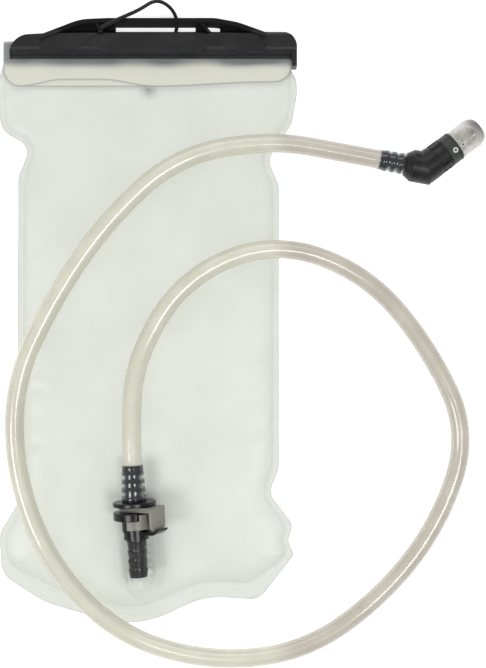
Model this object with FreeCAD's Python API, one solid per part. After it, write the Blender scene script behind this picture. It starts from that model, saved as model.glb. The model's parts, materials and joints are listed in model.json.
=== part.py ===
"""Hydration bladder: a welded film reservoir with a slide closure, a quick coupling and a drink tube.

Millimetres. +Z is up off the table, +Y points towards the closure, and the origin lies on the table
under the middle of the reservoir.
"""
import FreeCAD, Part
import math
import os

from FreeCAD import Placement, Rotation, Vector

# ---- reservoir films -------------------------------------------------------------------------
FILM = 0.5                 # thickness of one film
BAG_WIDTH = 172.0          # across the flared ends
BODY_WIDTH = 151.0         # across the straight sides
BAG_BOTTOM = -173.5        # lowest point of the bottom weld
NOTCH_TOP = 99.0           # height of the upper pair of notches
NOTCH_BOTTOM = -98.0       # height of the lower pair of notches
NOTCH_DEPTH = 5.0          # how far a notch cuts in from the straight side
WELD = 7.0                 # width of the flat weld round the pouch
POUCH_HEIGHT = 4.8         # top of the filled pouch above the table
POUCH_ROUND = 2.6          # rounding of the pouch's upper edge
NECK_START = 112.0         # the back film leaves the table here
NECK_END = 151.0           # the films are level from here up
FLAP_END = 136.5           # lower edge of the folded-over flap
NECK_WIDTH = 164.6         # width of the films in the closure
FOLD_CENTRE = 161.0        # centre of the fold inside the closure
FOLD_GAP = 0.6             # gap left inside the fold
FLAP_LOW = 5.3             # underside of the flap's free edge
HALF = BAG_WIDTH / 2
SIDE = BODY_WIDTH / 2
NOTCH = SIDE - NOTCH_DEPTH
NECK_SIDE = NECK_WIDTH / 2
FOLD_R = 2 * FILM + FOLD_GAP / 2

# ---- slide closure ---------------------------------------------------------------------------
JAW_BOTTOM = 3.6           # underside of the back jaw above the table
JAW = 2.3                  # thickness of the back jaw
SLOT_CLEAR = 0.3           # clearance between the folded films and the jaws
CLOSURE_LEFT = -78.0       # open end, where the film enters
CLOSURE_TOP = 166.3        # upper edge of the closure's bar
LIP_FRONT = 152.2          # lip of the front jaw
LIP_BACK = 151.6           # lip of the back jaw
BAR_TOP = 14.2             # face of the front jaw
HANDLE_TOP = 16.0          # height of the handle's web
HANDLE_REACH = 173.2       # outer edge of the handle
HANDLE_WALL = 2.3          # thickness of the handle's web
WINDOW_LEFT = -18.4        # left end of the window under the handle
WINDOW_RIGHT = 27.6        # its right end
WINDOW_SMALL = 41.6        # right end of the small window beyond the right strut
GUSSET_TOP = 9.0           # height of the gussets that close the rest
STOP = 2.9                 # thickness of the end stop
STOP_LEG = 146.8           # lower end of the end stop's leg
PLATE_RISE = 0.6           # raised centre plate and grip panels
STACK_BOTTOM = JAW_BOTTOM + JAW + SLOT_CLEAR
STACK_TOP = STACK_BOTTOM + 2 * FOLD_R
PLATE_LEFT = -27.5         # left end of the centre plate
PLATE_RIGHT = 34.4         # right end of the centre plate
ANCHOR_Y = 134.5           # where the tether's button sits under the neck

# ---- quick coupling, on its own axis: y runs out of the port towards the tube -----------------
COUPLING_AT = Vector(-5.2, -120.9, 18.4)
COUPLING_TURN = 3.4        # degrees about +Z
LATCH_TURN = 32.0          # degrees that the latch stands up from level
BORE = 5.0                 # bore that takes the nose of the insert
RUN_FIT = 0.08             # radial running clearance of every plug in its bore
SEAT = 0.3                 # gap left between pieces that move past each other
STEM = 5.5                 # radius of the barbed stem and of the socket's bore
STEM_LENGTH = 21.4         # how far the stem stands in the socket
STEM_BORE = 4.2            # radius of the water way through the stem
STEM_BARBS = 4
BARB_CLEAR = 0.02          # from the stem's barbs to the socket's bore
NECK_R = 7.8               # radius of the coupling body behind its disc
COVER_WALL = 3.4           # wall of the saddle over the body's neck
COVER_R = NECK_R + COVER_WALL
DISC_R = COVER_R + 1.0     # radius of both thumb discs
BODY_FACE = 15.5           # front face of the coupling body
DISC_BACK = 4.3            # thickness of the body's disc
DISC_FRONT = 2.4           # thickness of the insert's disc
LATCH_PLATE = 2.6          # thickness of the latch's plate
LATCH_TRAVEL = 2.0         # how far the thumb pad goes in
PLATE_BACK = 8.6           # far end of the latch's plate from the axis
NOSE_LENGTH = 14.0         # how far the insert's nose stands in the body
NOSE_WAY = 2.4             # radius of the water way through the insert
SEAL_GROOVE = 1.1          # depth of the groove for the insert's seal
SEAL_WIRE = 0.5            # section radius of the insert's seal
SEAL_AT = 3.0              # the insert's seal behind the tip of the nose
CATCH_DEPTH = 0.8          # depth of the groove that the latch drops into
POPPET_TRAVEL = 2.0        # how far the insert pushes the poppet off its seat
POPPET_R = 3.9             # radius of the poppet's head
POPPET_STEM = 1.2          # radius of the poppet's guide
WEB_AT = -9.0              # back of the spider that guides the poppet
WEB = 1.4                  # thickness of the spider
LATCH_WIRE = 0.45          # wire of the latch spring
POPPET_WIRE = 0.5          # wire of the poppet spring
PAD_OUT = COVER_R + 5.0    # outer face of the thumb pad from the axis
PAD_HALF = 6.6             # half width of the thumb pad
PAD_WALL = 1.6             # wall of the thumb pad
PAD_LOW = 5.4              # lower end of the thumb pad
GUARD_LOW = 3.0            # underside of the guard below the pad
GUARD = 1.7                # thickness of the guard
SPRING_Y = 9.6             # the latch spring's place along the axis
LIP_AT = 3.4               # underside of the seal lip in the coupling body
INSERT_BARB = 20.3         # length of the insert's barbed tail
LATCH_FACE = BODY_FACE + 2 * SEAT + LATCH_PLATE
NOSE_TIP = LATCH_FACE - NOSE_LENGTH
TUBE_START = LATCH_FACE + DISC_FRONT
POPPET_TOP = LIP_AT - POPPET_TRAVEL - 0.1

# ---- port spout --------------------------------------------------------------------------------
SPOUT_WALL = 3.4           # wall of the socket round the stem
SPOUT_RIB = 0.9            # how far the socket's ribs stand out
SPOUT_RIBS = 5
SPOUT_TAIL = 7.6           # radius of the dome over the way down
FLANGE_X = 15.2            # half width of the welded flange
FLANGE_Y = 26.0            # half length of the welded flange
FLANGE_AT = -11.8          # its middle from the socket's mouth
FLANGE = 0.8               # thickness of the welded flange
PORT_BORE = 4.5            # radius of the way down into the pouch
SPOUT_END = STEM_LENGTH + PORT_BORE + 0.1

# ---- drink tube and tether ---------------------------------------------------------------------
TUBE_R = 5.4               # outside radius of the drink tube
TUBE_BORE = 3.5            # radius of its bore
BARB_RISE = 0.7            # how far a barb stands into the tube's wall
TETHER_R = 1.05            # radius of the tether cord
CORNER_SHARE = 0.45        # share of the shorter run that a corner's arc takes up

# ---- bite valve: axis 1 is the tube's end, axis 2 the mouthpiece ------------------------------
ELBOW_AT = Vector(158.9, 89.3, 9.3)
ELBOW_IN = -10.5           # direction of the tube's end about +Z, degrees
ELBOW_OUT = 36.8           # direction of the mouthpiece about +Z, degrees
ELBOW_R = 9.1              # outside radius of the elbow
SWIVEL_BORE = 4.0          # bore that the spigot's nose turns in
SWIVEL_WIRE = 0.45         # section radius of the spigot's seal
SWIVEL_AT = -4.6           # place of the spigot's seal on axis 1
CORE_R = 5.0               # outside radius of the fixed core
CORE_WAY = 3.2             # radius of the water way through the core
CORE_WIRE = 0.43           # section radius of the core's seal
CORE_SEAL_AT = 10.1        # place of the core's seal on axis 2
CORE_TO = 31.0             # outer end of the core inside the mouthpiece
SLEEVE_R = 8.9             # radius over the sleeve's lugs
SLEEVE_FROM = 5.9          # from here to SLEEVE_TO the sleeve lies on axis 2
SLEEVE_TO = 14.6
RING_TO = 21.1             # outer end of the marked ring
MOUTH_R = 8.45             # radius of the mouthpiece
MOUTH_TO = 38.6            # outer end of the mouthpiece
LUGS = 10                  # raised grips round the sleeve
LUG_RISE = 0.5             # how far they stand out
TUBE_END = -9.8            # where the tube stops on the spigot
ELBOW_MOUTH = 5.5          # radius of the recess in the elbow's collar
CORE_FROM = 3.4            # foot of the fixed core in the elbow

Y_AXIS = Vector(0, 1, 0)
X_AXIS = Vector(1, 0, 0)
Z_AXIS = Vector(0, 0, 1)


# ---- geometry helpers --------------------------------------------------------------------------
def corner(before, at, after, radius):
    """Start, middle and end of the arc that rounds the corner at a point of a path."""
    back = (before - at).normalize()
    ahead = (after - at).normalize()
    half_turn = (math.pi - back.getAngle(ahead)) / 2
    reach = radius * math.tan(half_turn)
    inward = (back + ahead).normalize()
    middle = at + inward * (radius / math.cos(half_turn) - radius)
    return at + back * reach, middle, at + ahead * reach


def path(points, radii, closed=False):
    """A wire of straight runs joined by tangent arcs; radii has one value per inner corner."""
    count = len(points)
    inner = range(count) if closed else range(1, count - 1)
    arcs = [corner(points[i - 1], points[i], points[(i + 1) % count], r) for i, r in zip(inner, radii)]
    edges = []
    here = arcs[-1][2] if closed else points[0]
    for start, middle, end in arcs:
        if (start - here).Length > 1e-4:
            edges.append(Part.LineSegment(here, start).toShape())
        edges.append(Part.Arc(start, middle, end).toShape())
        here = end
    if not closed:
        edges.append(Part.LineSegment(here, points[-1]).toShape())
    return Part.Wire(edges)


def shifted(points, gap):
    """An open path in a plane, moved sideways by a gap to the left of its direction (y, z or x, y)."""
    sides = [(b - a).normalize() for a, b in zip(points, points[1:])]
    normal = sides[0].cross(sides[1]) if len(sides) > 1 else Z_AXIS
    for a, b in zip(sides, sides[1:]):
        if a.cross(b).Length > normal.Length:
            normal = a.cross(b)
    normal = Vector(*(abs(c) for c in normal.normalize()))
    left = [normal.cross(side) for side in sides]
    moved = [points[0] + left[0] * gap]
    for i in range(1, len(points) - 1):
        lean = (left[i - 1] + left[i]).normalize()
        moved.append(points[i] + lean * (gap / lean.dot(left[i])))
    moved.append(points[-1] + left[-1] * gap)
    turns = [normal.dot(a.cross(b)) for a, b in zip(sides, sides[1:])]
    return moved, turns


def strip(points, radii, near, far):
    """The flat face between two paths that run beside the given one, near and far from it."""
    wires = []
    for gap in (near, far):
        moved, turns = shifted(points, gap)
        tuned = [r - gap if turn > 0 else r + gap for r, turn in zip(radii, turns)]
        wires.append(path(moved, tuned) if radii else Part.makePolygon(moved))
    near_ends, far_ends = [(wire.Vertexes[0].Point, wire.Vertexes[-1].Point) for wire in wires]
    caps = [Part.LineSegment(a, b).toShape() for a, b in zip(near_ends, far_ends)]
    edges = wires[0].Edges + wires[1].Edges + caps
    return Part.Face(Part.Wire(Part.__sortEdges__(edges)))


def across(points):
    """Points of a section that is drawn from the side: (y, z) pairs."""
    return [Vector(0, y, z) for y, z in points]


def plan(points, height=0.0):
    """Points of an outline that is drawn from above: (x, y) pairs."""
    return [Vector(x, y, height) for x, y in points]


def prism(face, low, high, axis=X_AXIS):
    """A face extruded along an axis from low to high."""
    solid = face.extrude(axis * (high - low))
    solid.translate(axis * low)
    return solid


def rod(radius, start, end, axis=Y_AXIS, at=Vector(0, 0, 0)):
    """A cylinder on an axis through a point, from start to end along it."""
    return Part.makeCylinder(radius, end - start, at + axis * start, axis)


def soft_rod(radius, start, end, rounding, axis=Y_AXIS):
    """A cylinder on an axis through the origin, with both of its rims rounded."""
    solid = rod(radius, start, end, axis)
    rims = [edge for edge in solid.Edges if edge.Closed and isinstance(edge.Curve, Part.Circle)]
    return solid.makeFillet(rounding, rims)


def taper(radius_a, radius_b, start, end, axis=Y_AXIS):
    """A cone on an axis through the origin."""
    return Part.makeCone(radius_a, radius_b, end - start, axis * start, axis)


def block(low, high):
    """A box between two opposite corners."""
    size = high - low
    return Part.makeBox(size.x, size.y, size.z, low)


def joined(shapes):
    """One solid from shapes that touch or overlap."""
    return shapes[0].multiFuse(shapes[1:]).removeSplitter()


def spring(mean_radius, wire, start, end, turns):
    """A coil spring along +Y from start to end, measured over its wire and swept in half turns."""
    rise = end - start - wire
    count = int(2 * turns)
    edges = []
    for i in range(count):
        half = Part.makeHelix(rise / turns, rise / count, mean_radius)
        half.rotate(Vector(0, 0, 0), Z_AXIS, 180 * i)
        half.translate(Z_AXIS * (i * rise / count))
        edges += half.Edges
    coil = Part.Wire(edges)
    first = coil.Edges[0]
    ring = Part.Wire(Part.Circle(first.valueAt(first.FirstParameter),
                                 first.tangentAt(first.FirstParameter), wire / 2).toShape())
    solid = coil.makePipeShell([ring], True, True)
    solid.rotate(Vector(0, 0, 0), X_AXIS, -90)
    solid.translate(Y_AXIS * (start + wire / 2))
    return solid


def coupling_frame(shape):
    """Puts a piece drawn on the coupling's own axis in its place."""
    shape.Placement = Placement(COUPLING_AT, Rotation(Z_AXIS, COUPLING_TURN)).multiply(shape.Placement)
    return shape


def latch_frame(shape):
    """Turns a piece drawn with the thumb pad along +X up to the latch's real angle."""
    shape.Placement = Placement(Vector(0, 0, 0), Rotation(Y_AXIS, -LATCH_TURN)).multiply(shape.Placement)
    return shape


def valve_frame(shape, angle):
    """Puts a piece drawn along +X on one of the elbow's two axes."""
    shape.Placement = Placement(ELBOW_AT, Rotation(Z_AXIS, angle)).multiply(shape.Placement)
    return shape


# ---- reservoir ---------------------------------------------------------------------------------
def bag_outline():
    """The films' outline from above, rounded at every corner."""
    points = [
        (-60.0, -161.0), (-8.0, BAG_BOTTOM - 3.0), (33.0, -157.5), (64.0, -159.5),
        (HALF - 1.6, -133.5), (HALF - 5.0, -125.5), (HALF - 2.2, -116.0), (NOTCH - 0.5, NOTCH_BOTTOM),
        (SIDE, NOTCH_BOTTOM + 14.0), (SIDE, NOTCH_TOP - 18.0), (NOTCH - 1.2, NOTCH_TOP - 4.0),
        (HALF - 3.0, 116.0), (HALF, 133.0), (HALF - 0.4, 140.0), (NECK_SIDE, 146.0),
        (NECK_SIDE, FOLD_CENTRE), (-NECK_SIDE, FOLD_CENTRE), (-NECK_SIDE, 150.0), (-HALF, 140.0),
        (-HALF, 130.0), (0.4 - HALF, 112.0), (2.0 - NOTCH, NOTCH_TOP + 4.0), (-SIDE, NOTCH_TOP - 14.0),
        (-SIDE, NOTCH_BOTTOM - 5.0), (-HALF, -121.0), (1.0 - HALF, -145.0),
    ]
    radii = [50, 55, 45, 10, 4, 4, 6, 9, 14, 14, 9, 14, 20, 4, 3, 0.5, 0.5, 3, 6, 20, 12, 8, 12, 12, 12, 14]
    return Part.Face(path(plan(points), radii, closed=True))


def neck_section():
    """The underside of the back film from below the pouch to the start of the fold."""
    points = across([(BAG_BOTTOM - 10, 0), (NECK_START, 0), (NECK_END, STACK_BOTTOM),
                     (FOLD_CENTRE, STACK_BOTTOM)])
    return points, [40.0, 8.0]


def flap_section():
    """The outer face of the flap from the fold to its free edge."""
    points = across([(FOLD_CENTRE, STACK_TOP), (NECK_END, STACK_TOP), (FLAP_END, FLAP_LOW + 2 * FILM)])
    return points, [12.0]


def flap_outline():
    """The flap from above, with its two lower corners rounded."""
    side = NECK_SIDE
    points = plan([(-side, FLAP_END), (side, FLAP_END), (side, FOLD_CENTRE), (-side, FOLD_CENTRE)])
    return Part.Face(path(points, [9.0, 9.0, 0.5, 0.5], closed=True))


def film_layer(near, far):
    """One film of the reservoir's neck, fold and flap, between two depths from its outer face."""
    points, radii = neck_section()
    sheet = prism(strip(points, radii, near, far), -HALF - 1, HALF + 1)
    main = sheet.common(prism(bag_outline(), -1, STACK_TOP, Z_AXIS))
    centre = Vector(0, FOLD_CENTRE, STACK_BOTTOM + FOLD_R)
    tube = rod(FOLD_R - near, -NECK_SIDE, NECK_SIDE, X_AXIS, centre)
    tube = tube.cut(rod(FOLD_R - far, -NECK_SIDE, NECK_SIDE, X_AXIS, centre))
    fold = tube.common(block(Vector(-HALF, FOLD_CENTRE, 0), Vector(HALF, FOLD_CENTRE + 9, 20)))
    points, radii = flap_section()
    flap = prism(strip(points, radii, near, far), -HALF - 1, HALF + 1)
    flap = flap.common(prism(flap_outline(), 0, STACK_TOP + 1, Z_AXIS))
    return main, fold, flap


def pouch(inset, top, rounding):
    """The space under the pouch's crown, to a given inset from the outline."""
    face = bag_outline().makeOffset2D(-inset)
    solid = prism(face, 0, top, Z_AXIS)
    solid = solid.common(block(Vector(-HALF, -200, 0), Vector(HALF, NECK_START + 20 - inset, 20)))
    rim = [e for e in solid.Edges if min(v.Z for v in e.Vertexes) > top - 1e-3
           and max(v.Y for v in e.Vertexes) < NECK_START + 19 - inset]
    return solid.makeFillet(rounding, rim)


def back_film():
    return joined(list(film_layer(0.0, FILM)))


def front_film():
    main, fold, flap = film_layer(FILM, 2 * FILM)
    hollow = pouch(WELD + FILM, POUCH_HEIGHT - FILM, POUCH_ROUND - FILM)
    crown = pouch(WELD, POUCH_HEIGHT, POUCH_ROUND).cut(hollow)
    points, radii = neck_section()
    below = prism(strip(points, radii, -20, FILM), -HALF - 1, HALF + 1)
    main = main.cut(hollow)
    film = joined([main, crown.cut(below), fold, flap])
    port = coupling_frame(rod(PORT_BORE + SEAT, -30, 0, Z_AXIS, Y_AXIS * -SPOUT_END))
    return film.cut(port)


def tether_anchor():
    """A button under the neck that the tether is tied to."""
    points, radii = neck_section()
    above = prism(strip(points, radii, 0, 20), -HALF, HALF)
    button = rod(TETHER_R + 1.95, 0.3, 8, Z_AXIS, Vector(0, ANCHOR_Y, 0))
    return button.cut(above)


# ---- slide closure -----------------------------------------------------------------------------
def closure_bar(slot_high, right):
    """The bar with its front lip, before the slot is cut."""
    section = across([
        (LIP_BACK, JAW_BOTTOM), (CLOSURE_TOP, JAW_BOTTOM), (CLOSURE_TOP, BAR_TOP - 1.6),
        (CLOSURE_TOP - 1.8, BAR_TOP), (LIP_FRONT + 4.6, BAR_TOP), (LIP_FRONT + 1.3, slot_high + 2.6),
        (LIP_FRONT + 1.1, slot_high + 1.2), (LIP_FRONT - 0.4, slot_high + 1.0), (LIP_FRONT - 0.4, slot_high),
        (LIP_BACK, slot_high),
    ])
    radii = [0.6, 0.6, 1.2, 1.2, 4.0, 0.5, 0.3, 0.4, 0.05, 0.05]
    outline = plan([
        (CLOSURE_LEFT - 0.6, LIP_BACK - 0.5), (CLOSURE_LEFT + 1.6, CLOSURE_TOP - 2.2), (-40.0, CLOSURE_TOP),
        (right, CLOSURE_TOP + 0.2), (right, LIP_BACK - 0.5),
    ])
    bar = prism(Part.Face(path(section, radii, closed=True)), CLOSURE_LEFT - 5, right + 5)
    seen_from_above = Part.Face(path(outline, [0.6, 12.0, 30.0, 9.0, 0.5], closed=True))
    return bar.common(prism(seen_from_above, 0, 20, Z_AXIS))


def closure_handle():
    """The handle's web, struts and gussets, which leave the windows that the bladder hangs by."""
    arch = plan([(-61.0, CLOSURE_TOP - 2.8), (-37.5, HANDLE_REACH - 0.7), (-22.0, HANDLE_REACH),
                 (39.0, HANDLE_REACH), (52.0, HANDLE_REACH - 2.4), (68.0, CLOSURE_TOP - 1.2)])
    pieces = [prism(strip(arch, [30.0] * 4, 0, -HANDLE_WALL), JAW_BOTTOM, HANDLE_TOP, Z_AXIS)]
    foot, head = CLOSURE_TOP - 1.0, HANDLE_REACH - 1.0
    struts = [[(-24.5, foot), (-27.6, head), (-30.0, head), (-26.9, foot)],
              [(35.2, foot), (28.8, head), (30.6, head), (37.0, foot)]]
    gussets = [[(-52.0, foot), (WINDOW_LEFT, foot), (WINDOW_LEFT, head), (-36.5, head - 0.6)],
               [(WINDOW_RIGHT, foot), (36.0, foot), (30.0, head), (WINDOW_RIGHT, head)],
               [(WINDOW_SMALL, foot), (64.0, foot), (52.0, head - 2.4), (WINDOW_SMALL, head)]]
    for outlines, top in ((struts, HANDLE_TOP - 0.5), (gussets, GUSSET_TOP)):
        for outline in outlines:
            face = Part.Face(Part.makePolygon(plan(outline + outline[:1])))
            pieces.append(prism(face, JAW_BOTTOM, top, Z_AXIS))
    return pieces


def closure_panels():
    """The raised centre plate and the two grip panels, with softened upper edges."""
    low, high = LIP_FRONT + 1.6, CLOSURE_TOP - 1.2
    plate = plan([(PLATE_LEFT, low), (PLATE_RIGHT, low), (PLATE_RIGHT, high), (PLATE_LEFT, high)])
    faces = [Part.Face(path(plate, [5.2] * 4, closed=True))]
    middle = (PLATE_LEFT + PLATE_RIGHT) / 2
    for way in (1, -1):
        grip = [(66.0, low), (52.0, low), (42.5, low + 2.6), (36.0, high - 3.4), (29.5, high), (59.8, high)]
        if way < 0:
            grip = [(-reach, y) for reach, y in grip]
        points = plan([(middle - reach, y) for reach, y in grip])
        faces.append(Part.Face(path(points, [3.0, 8.0, 6.0, 5.0, 0.6, 4.5], closed=True)))
    panels = []
    for face in faces:
        panel = prism(face, BAR_TOP - 1.0, BAR_TOP + PLATE_RISE, Z_AXIS)
        rim = [edge for edge in panel.Edges if min(v.Z for v in edge.Vertexes) > BAR_TOP]
        panels.append(panel.makeFillet(PLATE_RISE / 2, rim))
    return panels


def slide_closure():
    slot_low = JAW_BOTTOM + JAW
    slot_high = STACK_TOP + SLOT_CLEAR
    slot_end = FOLD_CENTRE + FOLD_R + SLOT_CLEAR
    inner = NECK_SIDE + SEAT
    right = inner + STOP
    leg = block(Vector(right - STOP, STOP_LEG, JAW_BOTTOM), Vector(right, LIP_FRONT + 3, BAR_TOP - 0.8))
    whole = joined([closure_bar(slot_high, right), leg] + closure_handle() + closure_panels())
    slot = block(Vector(CLOSURE_LEFT - 5, STOP_LEG - 5, slot_low), Vector(inner, slot_end, slot_high))
    lead_in = block(Vector(CLOSURE_LEFT - 5, STOP_LEG - 5, JAW_BOTTOM - 1),
                    Vector(CLOSURE_LEFT + 60, LIP_BACK - 0.1, slot_high))
    return whole.cut(slot).cut(lead_in)


# ---- port spout and quick coupling ---------------------------------------------------------------
def port_spout():
    """The socket welded to the front film, with the barbed stem's bore and the way down to the pouch."""
    outer = STEM + SPOUT_WALL
    drop = COUPLING_AT.z - POUCH_HEIGHT
    pieces = [rod(outer, -STEM_LENGTH, 0)]
    pitch = STEM_LENGTH / SPOUT_RIBS
    for i in range(SPOUT_RIBS):
        start = -STEM_LENGTH + i * pitch + pitch * 0.3
        pieces.append(rod(outer + SPOUT_RIB, start, start + pitch * 0.45))
    pieces.append(rod(SPOUT_TAIL, -SPOUT_END, -STEM_LENGTH))
    pieces.append(Part.makeSphere(SPOUT_TAIL, Y_AXIS * -SPOUT_END))
    pieces.append(rod(SPOUT_TAIL, -drop, 0, Z_AXIS, Y_AXIS * -SPOUT_END))
    pieces.append(block(Vector(-4, -SPOUT_END, -drop), Vector(4, -2, -outer + 1)))
    flange = Part.Face(Part.Wire(Part.Ellipse(Vector(0, FLANGE_Y, 0), Vector(FLANGE_X, 0, 0),
                                              Vector(0, 0, 0)).toShape()))
    flange.translate(Vector(0, FLANGE_AT, -drop))
    pieces.append(prism(flange, 0, FLANGE, Z_AXIS))
    solid = joined(pieces)
    solid = solid.cut(rod(STEM, -STEM_LENGTH, 1)).cut(rod(PORT_BORE, -SPOUT_END, -STEM_LENGTH))
    solid = solid.cut(rod(PORT_BORE, -drop - 1, 0, Z_AXIS, Y_AXIS * -SPOUT_END))
    return coupling_frame(solid)


def barbs(root, crest, start, end, count, axis=Y_AXIS):
    """Cones that grip a tube, each rising from root to crest in the direction of the axis."""
    pitch = (end - start) / count
    return [taper(root, crest, start + i * pitch, start + (i + 0.8) * pitch, axis) for i in range(count)]


def coupling_body():
    disc_from = BODY_FACE - DISC_BACK
    latch_way = block(Vector(NECK_R + 0.4, disc_from - 0.2, -20), Vector(30, BODY_FACE + 5, 20))
    disc = soft_rod(DISC_R, disc_from, BODY_FACE, 0.5).cut(latch_frame(latch_way))
    top = GUARD_LOW + GUARD
    side = plan([(4, GUARD_LOW), (PAD_OUT - 1.0, GUARD_LOW), (PAD_OUT + 2.6, PAD_LOW),
                 (PAD_OUT + 2.2, PAD_LOW + 1.6), (PAD_OUT + 0.9, PAD_LOW), (PAD_OUT - 1.6, top), (4, top)])
    guard = prism(Part.Face(path(side, [0.1, 4.0, 0.5, 0.5, 1.0, 3.0, 0.1], closed=True)), -4.6, 4.6, Z_AXIS)
    collar = rod(NECK_R - 0.8, 0, 4.5)
    neck = rod(NECK_R, 4.5, BODY_FACE)
    stem = rod(STEM - 0.6, -STEM_LENGTH, 0)
    tail = barbs(STEM - 0.6, STEM - BARB_CLEAR, -STEM_LENGTH, 0, STEM_BARBS)
    solid = joined([stem, collar, neck, disc, latch_frame(guard)] + tail)
    solid = solid.cut(rod(BORE, LIP_AT + 1, BODY_FACE + 1)).cut(rod(3.2, LIP_AT - 1, LIP_AT + 2))
    solid = solid.cut(rod(STEM_BORE, -STEM_LENGTH - 1, LIP_AT))
    reach, half = STEM_BORE + 0.3, WEB / 2
    web = joined([block(Vector(-reach, WEB_AT, -half), Vector(reach, WEB_AT + WEB, half)),
                  block(Vector(-half, WEB_AT, -reach), Vector(half, WEB_AT + WEB, reach)),
                  rod(POPPET_STEM + 0.9, WEB_AT, WEB_AT + WEB)])
    return coupling_frame(joined([solid, web.cut(rod(POPPET_STEM + RUN_FIT, WEB_AT - 1, WEB_AT + 3))]))


def latch_cover():
    """The saddle clipped over the coupling body that keeps the latch's spring in."""
    ring = rod(COVER_R, 6.3, BODY_FACE - DISC_BACK - 0.1).cut(rod(NECK_R, 0, 20))
    saddle = ring.common(block(Vector(2.2, 0, -20), Vector(20, 20, 20)))
    tab = rod(COVER_R, 8, 14.6).cut(rod(NECK_R, 0, 20))
    tab = tab.common(block(Vector(NECK_R + 0.6, 0, -20), Vector(20, 20, 20)))
    return coupling_frame(latch_frame(joined([saddle, tab])))


def thumb_latch():
    low = BODY_FACE + SEAT
    high = low + LATCH_PLATE
    half = PAD_HALF
    outline = plan([(-PLATE_BACK, -half), (PAD_OUT, -half), (PAD_OUT, half), (-PLATE_BACK, half)])
    plate = prism(Part.Face(path(outline, [5.0, 0.3, 0.3, 5.0], closed=True)), 0, LATCH_PLATE, Z_AXIS)
    reach = BORE - RUN_FIT + 0.35
    for x in (0.0, LATCH_TRAVEL + 0.1):
        plate = plate.cut(rod(reach, -1, LATCH_PLATE + 1, Z_AXIS, Vector(x, 0, 0)))
    plate = plate.cut(block(Vector(0, -reach, -1), Vector(LATCH_TRAVEL + 0.1, reach, LATCH_PLATE + 1)))
    plate.rotate(Vector(0, 0, 0), X_AXIS, 90)
    plate.translate(Y_AXIS * high)
    pad_face = [Vector(0, PAD_LOW, -PAD_HALF), Vector(0, high, -PAD_HALF), Vector(0, high, PAD_HALF),
                Vector(0, PAD_LOW, PAD_HALF)]
    pad = prism(Part.Face(path(pad_face, [3.0, 0.8, 0.8, 3.0], closed=True)), PAD_OUT - PAD_WALL, PAD_OUT)
    rim = [edge for edge in pad.Edges if min(v.X for v in edge.Vertexes) > PAD_OUT - 0.01]
    pad = pad.makeFillet(0.6, rim)
    boss = rod(1.0, COVER_R + LATCH_TRAVEL + 1, PAD_OUT - 1, X_AXIS, Y_AXIS * SPRING_Y)
    return coupling_frame(latch_frame(joined([plate, pad, boss])))


def latch_spring():
    coil = spring(1.65, LATCH_WIRE, COVER_R, PAD_OUT - PAD_WALL, 3.5)
    coil.rotate(Vector(0, 0, 0), Z_AXIS, -90)
    coil.translate(Y_AXIS * SPRING_Y)
    return coupling_frame(latch_frame(coil))


def shutoff_poppet():
    head = rod(POPPET_R, POPPET_TOP - 2.3, POPPET_TOP - 0.8)
    button = rod(1.5, POPPET_TOP - 1, NOSE_TIP - 0.1)
    guide = rod(POPPET_STEM, WEB_AT - 2.5, POPPET_TOP - 1)
    return coupling_frame(joined([head, button, guide]))


def poppet_seal():
    ring = rod(POPPET_R - 0.1, POPPET_TOP - 0.8, POPPET_TOP).cut(rod(1.5, -5, 5))
    return coupling_frame(ring)


def poppet_spring():
    return coupling_frame(spring(2 * POPPET_STEM, POPPET_WIRE, WEB_AT + WEB, POPPET_TOP - 2.3, 4))


def hose_insert():
    """The male half on the tube: a nose, a thumb disc and a barbed tail."""
    disc_to = LATCH_FACE + DISC_FRONT
    nose = rod(BORE - RUN_FIT, NOSE_TIP, LATCH_FACE)
    groove = rod(9, NOSE_TIP + SEAL_AT - 0.8, NOSE_TIP + SEAL_AT + 0.8)
    nose = nose.cut(groove.cut(rod(BORE - SEAL_GROOVE, 0, 30)))
    catch = rod(9, LATCH_FACE - LATCH_PLATE - 0.4, LATCH_FACE)
    nose = nose.cut(catch.cut(rod(BORE - CATCH_DEPTH, 0, 30)))
    seat = rod(TUBE_R + 1.6, disc_to, disc_to + 0.9).cut(rod(TUBE_R + 0.9, 0, 40))
    stem = rod(TUBE_BORE - 0.3, disc_to, disc_to + INSERT_BARB)
    tail = [taper(TUBE_BORE + BARB_RISE, TUBE_BORE - 0.3, disc_to + 1.5 + i * 4.6, disc_to + 5.2 + i * 4.6)
            for i in range(4)]
    solid = joined([nose, soft_rod(DISC_R, LATCH_FACE, disc_to, 0.5), seat, stem] + tail)
    solid = solid.cut(rod(NOSE_WAY, 0, disc_to + INSERT_BARB + 1))
    for i in range(8):
        port = rod(0.5, NOSE_TIP - 1, NOSE_TIP + 1, Y_AXIS, Vector(3.2, 0, 0))
        port.rotate(Vector(0, 0, 0), Y_AXIS, i * 45)
        solid = solid.cut(port)
    return coupling_frame(solid)


def ring_seal(mean_radius, section, at, axis=Y_AXIS):
    """An O-ring on an axis through the origin."""
    return Part.makeTorus(mean_radius, section, axis * at, axis)


def insert_seal():
    return coupling_frame(ring_seal(BORE - SEAL_WIRE - 0.05, SEAL_WIRE, NOSE_TIP + SEAL_AT))


# ---- cords ---------------------------------------------------------------------------------------
def along(angle, distance):
    """A point on one of the elbow's axes."""
    return ELBOW_AT + Vector(math.cos(math.radians(angle)), math.sin(math.radians(angle)), 0) * distance


def out_of_port(distance):
    """A point on the coupling's axis."""
    turn = math.radians(COUPLING_TURN)
    return COUPLING_AT + Vector(-math.sin(turn), math.cos(turn), 0) * distance


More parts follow.
